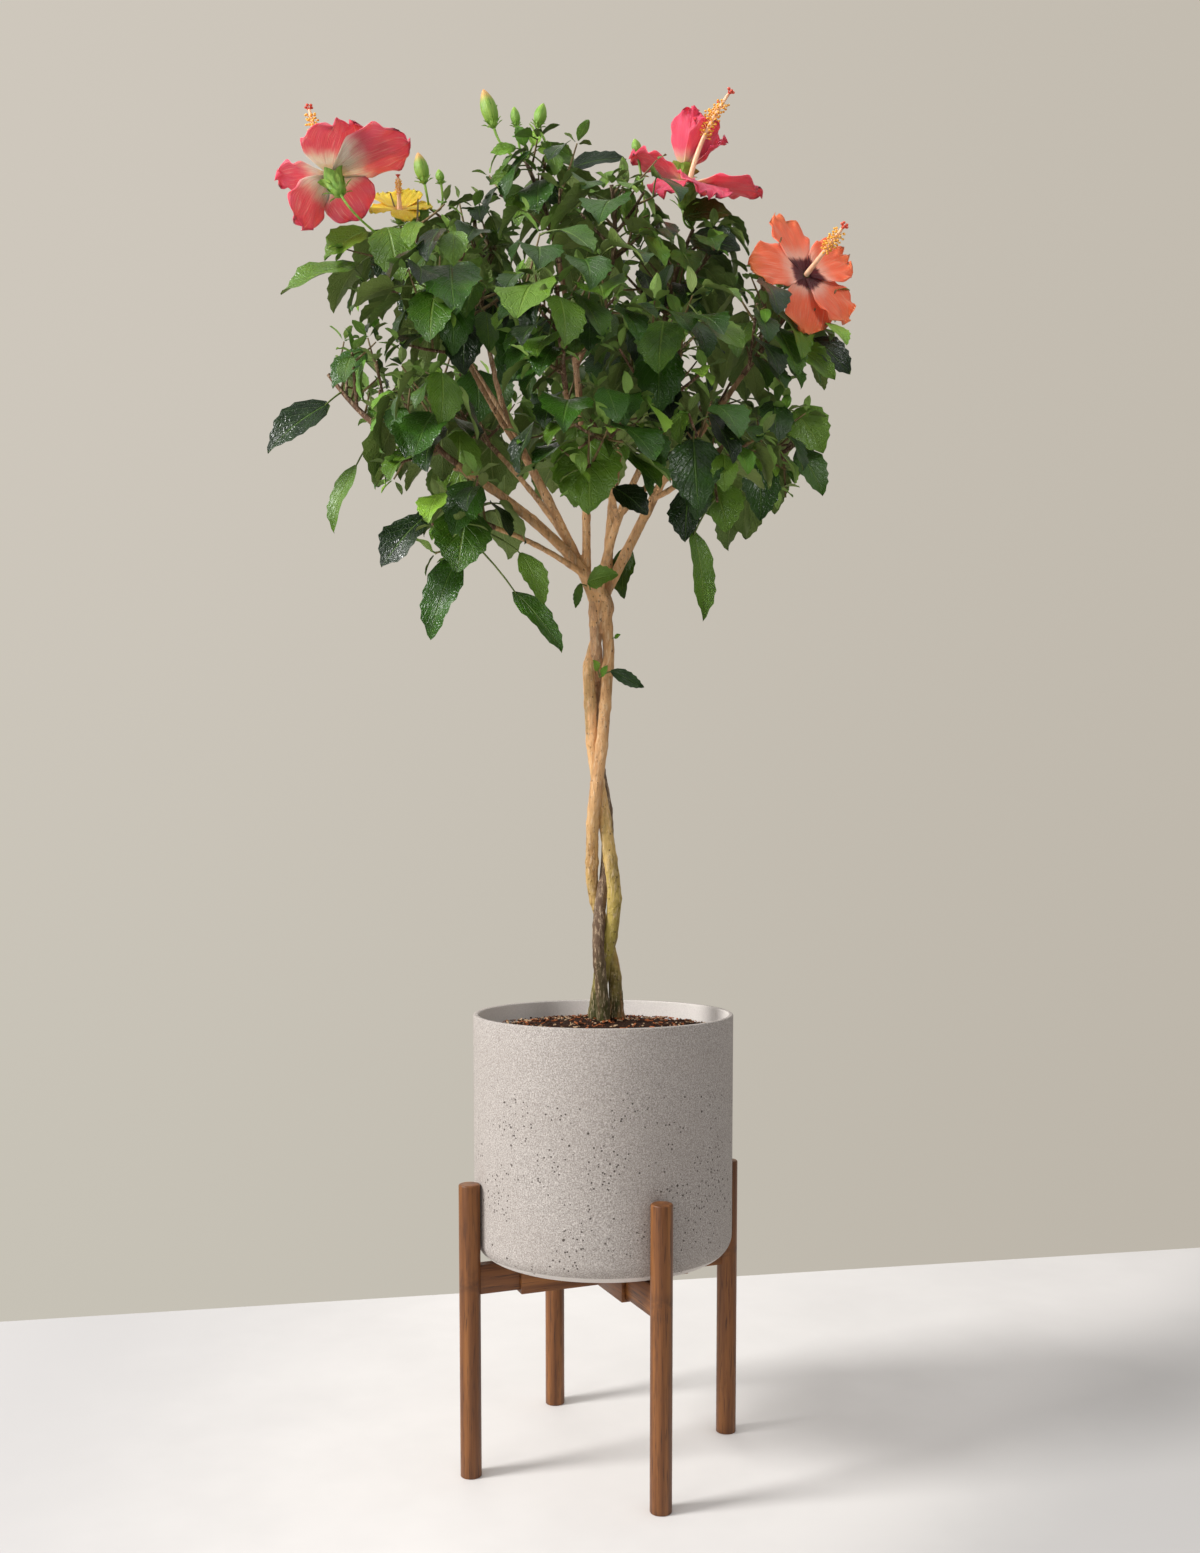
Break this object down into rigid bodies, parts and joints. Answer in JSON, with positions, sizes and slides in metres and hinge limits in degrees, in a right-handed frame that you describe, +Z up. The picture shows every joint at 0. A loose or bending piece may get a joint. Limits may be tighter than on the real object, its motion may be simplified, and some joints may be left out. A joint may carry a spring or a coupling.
{
  "type": "potted hibiscus standard on a plant stand",
  "caption": "Hibiscus trained as a standard: plaited trunk, round leafy crown with open flowers and buds, in a plain cement cylinder on a legged wooden stand.",
  "frame": {"origin": "on the floor under the middle of the pot", "axes": "+Z up, +X to the right of the plant's front, +Y away from its front"},
  "size_m": [0.6174, 0.5316, 1.4724],
  "materials": {
    "pot": "matt speckled cement",
    "soil": "loose potting mix with bark chips",
    "stand_wood": "stained and oiled",
    "stem_brown": "rough brown bark",
    "stem_olive": "green to tan bark",
    "stem_tan": "tan bark",
    "bough_bark": "tan bark",
    "foliage": "glossy leaves"
  },
  "bodies": {
    "root": {"pot": "pot", "soil": "soil", "leg_left": "stand_wood", "leg_front": "stand_wood", "leg_right": "stand_wood", "leg_back": "stand_wood", "slider_left": "stand_wood", "slider_front": "stand_wood", "slider_right": "stand_wood", "slider_back": "stand_wood", "sleeve_bar_wide": "stand_wood", "sleeve_bar_deep": "stand_wood", "stem_brown": "stem_brown", "stem_olive": "stem_olive", "stem_tan": "stem_tan", "bough_far_left": "bough_bark", "bough_right": "bough_bark", "bough_upper_left": "bough_bark", "bough_left_front": "bough_bark", "bough_left_low": "bough_bark", "bough_spire": "bough_bark", "bough_top_left": "bough_bark", "bough_mid_left": "bough_bark", "bough_right_front": "bough_bark", "bough_back_top": "bough_bark", "bough_right_flower": "bough_bark", "bough_far_right": "bough_bark", "bough_top_right": "bough_bark", "bough_right_low": "bough_bark", "bough_back_left": "bough_bark", "bough_back_centre": "bough_bark", "bough_back_right": "bough_bark", "bough_centre_front": "bough_bark", "bough_centre_low": "bough_bark", "bough_top_centre": "bough_bark", "foliage_far_left": "foliage", "foliage_left_front": "foliage", "foliage_left_low": "foliage", "foliage_upper_left": "foliage", "foliage_top_left": "foliage", "foliage_mid_left": "foliage", "foliage_spire": "foliage", "foliage_top_centre": "foliage", "foliage_top_right": "foliage", "foliage_right_front": "foliage", "foliage_right_flower": "foliage", "foliage_far_right": "foliage", "foliage_right_low": "foliage", "foliage_centre_front": "foliage", "foliage_centre_low": "foliage", "foliage_back_left": "foliage", "foliage_back_centre": "foliage", "foliage_back_right": "foliage", "foliage_back_top": "foliage"}
  },
  "joints": []
}
